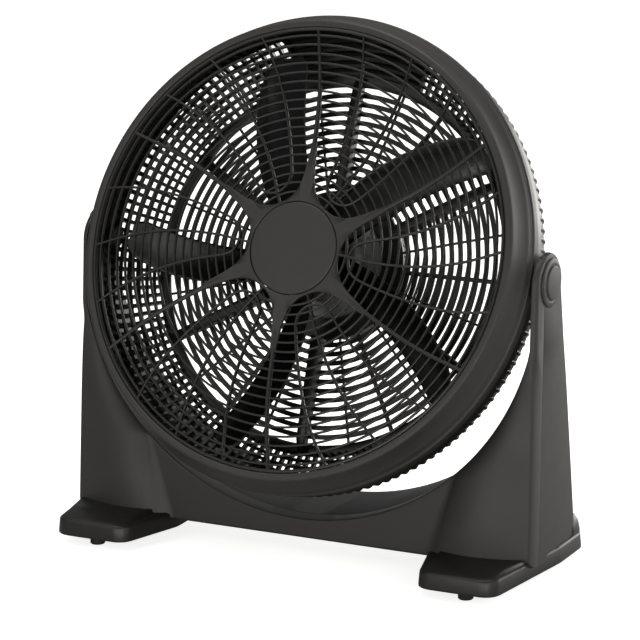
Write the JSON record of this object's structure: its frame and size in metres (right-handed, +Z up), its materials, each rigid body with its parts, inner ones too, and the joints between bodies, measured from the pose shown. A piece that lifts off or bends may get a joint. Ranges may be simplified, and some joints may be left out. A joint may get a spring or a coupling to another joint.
{
  "type": "floor fan",
  "caption": "Round floor fan: blades behind a swirled guard, a caged motor with a speed knob, and a head that tilts between the arms of a U-shaped stand.",
  "frame": {"origin": "on the floor, under the middle of the whole fan's box, with the head leaning back as at rest", "axes": "+Z up, +X to the right seen from the front, the guard's front faces -Y and leans upwards"},
  "size_m": [0.574, 0.2768, 0.596],
  "materials": {
    "charcoal_plastic": "fine matte grain",
    "foot_plastic": "satin moulded",
    "guard_plastic": "satin moulded",
    "blade_plastic": "semi-gloss moulded",
    "rubber": "dull",
    "nylon": "natural moulded",
    "zinc_plated_steel": "zinc plated",
    "cast_aluminium": "as cast",
    "lamination_steel": "stamped",
    "ground_steel": "ground",
    "copper_winding": "varnished copper wire",
    "sintered_bronze": "oil-filled bronze"
  },
  "bodies": {
    "base": {"stand_front_shell": "charcoal_plastic", "stand_rear_shell": "charcoal_plastic", "foot_plate_left": "foot_plastic", "foot_plate_right": "foot_plastic", "rubber_foot_front_left": "rubber", "rubber_foot_front_right": "rubber", "rubber_foot_rear_left": "rubber", "rubber_foot_rear_right": "rubber", "pivot_cap_left": "charcoal_plastic", "pivot_cap_right": "charcoal_plastic", "pivot_bolt_left": "zinc_plated_steel", "pivot_bolt_right": "zinc_plated_steel", "friction_washer_left": "nylon", "friction_washer_right": "nylon", "stand_screw_low_left": "zinc_plated_steel", "stand_screw_low_right": "zinc_plated_steel", "stand_screw_high_left": "zinc_plated_steel", "stand_screw_high_right": "zinc_plated_steel"},
    "head": {"bezel_ring": "charcoal_plastic", "front_grille": "guard_plastic", "hub_plate": "charcoal_plastic", "rear_housing": "guard_plastic", "motor_front_bell": "cast_aluminium", "motor_rear_bell": "cast_aluminium", "stator_stack": "lamination_steel", "front_winding": "copper_winding", "rear_winding": "copper_winding", "front_bearing": "sintered_bronze", "rear_bearing": "sintered_bronze", "motor_cover": "charcoal_plastic", "motor_screw_1": "zinc_plated_steel", "motor_screw_2": "zinc_plated_steel", "motor_screw_3": "zinc_plated_steel", "motor_screw_4": "zinc_plated_steel", "cover_screw_1": "zinc_plated_steel", "cover_screw_2": "zinc_plated_steel", "cover_screw_3": "zinc_plated_steel", "speed_switch": "nylon", "run_capacitor": "nylon", "cord_gland": "rubber"},
    "rotor": {"blade_wheel": "blade_plastic", "blade_nut": "nylon", "motor_shaft": "ground_steel", "rotor_core": "lamination_steel"},
    "knob": {"speed_knob": "charcoal_plastic"}
  },
  "joints": [
    {"name": "head_tilt", "type": "hinge", "parent": "base", "child": "head", "pos_m": [0, 0.01362, 0.3337], "axis": [-1, 0, 0], "range_deg": [-36.16, 68.84]},
    {"name": "blade_spin", "type": "hinge", "parent": "head", "child": "rotor", "pos_m": [0, 0.01362, 0.3337], "axis": [0, -0.9326, 0.361], "continuous": true},
    {"name": "speed_knob_turn", "type": "hinge", "parent": "head", "child": "knob", "pos_m": [0, 0.07767, 0.26065], "axis": [0, 0.9326, -0.361], "range_deg": [0, 135]}
  ]
}
